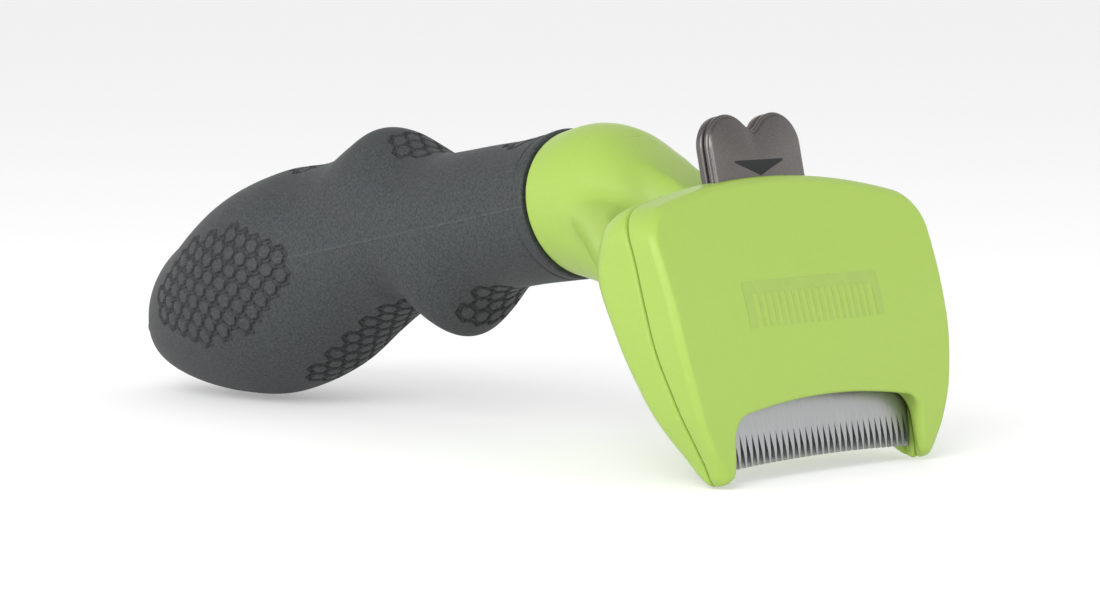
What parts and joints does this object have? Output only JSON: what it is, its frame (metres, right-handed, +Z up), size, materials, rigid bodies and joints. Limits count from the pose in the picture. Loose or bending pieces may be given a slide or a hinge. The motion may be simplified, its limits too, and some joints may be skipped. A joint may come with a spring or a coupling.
{
  "type": "deshedding tool",
  "caption": "Deshedding tool for pets: fine-toothed steel blade in a rounded plastic head, thumb-pushed hair ejector, and a contoured rubber grip on an angled neck.",
  "frame": {"origin": "centre of the footprint, on the surface that the tool rests on", "axes": "+X across the blade, -Y out of the head's front face, +Y along the handle to its tail, +Z up"},
  "size_m": [0.0652, 0.1686, 0.0566],
  "materials": {
    "green_plastic": "satin lime green moulded plastic",
    "rubber_grip": "matt charcoal soft rubber with recessed hexagon texture",
    "black_plastic": "plain dark moulded plastic",
    "blade_steel": "stainless steel, brushed across its width",
    "gunmetal_button": "satin gunmetal grey",
    "fastener_steel": "plain zinc-plated steel",
    "spring_steel": "drawn spring wire"
  },
  "bodies": {
    "tool_body": {"front_cover": "green_plastic", "rear_housing": "green_plastic", "grip_overmould": "rubber_grip", "handle_core_upper": "black_plastic", "handle_core_lower": "black_plastic", "blade": "blade_steel", "head_screw_upper_left": "fastener_steel", "head_screw_upper_right": "fastener_steel", "head_screw_lower_left": "fastener_steel", "head_screw_lower_right": "fastener_steel", "blade_clamp_bar": "fastener_steel", "blade_screw_left": "fastener_steel", "blade_screw_right": "fastener_steel", "spring_guide_pin_left": "fastener_steel", "spring_guide_pin_right": "fastener_steel", "core_screw_front": "fastener_steel", "core_screw_rear": "fastener_steel", "return_spring_left": "spring_steel", "return_spring_right": "spring_steel"},
    "ejector": {"ejector_button_face": "gunmetal_button", "ejector_button_back": "gunmetal_button", "ejector_carriage": "black_plastic", "wiper_plate": "blade_steel", "wiper_rivet_left": "fastener_steel", "wiper_rivet_right": "fastener_steel"}
  },
  "joints": [
    {"name": "ejector_slide", "type": "slide", "parent": "tool_body", "child": "ejector", "axis": [0, -0.225, -0.9744], "range_m": [0, 0.0065], "stiffness_N_per_m": 600, "springref_m": -0.004, "deforming": ["return_spring_left", "return_spring_right"]}
  ]
}
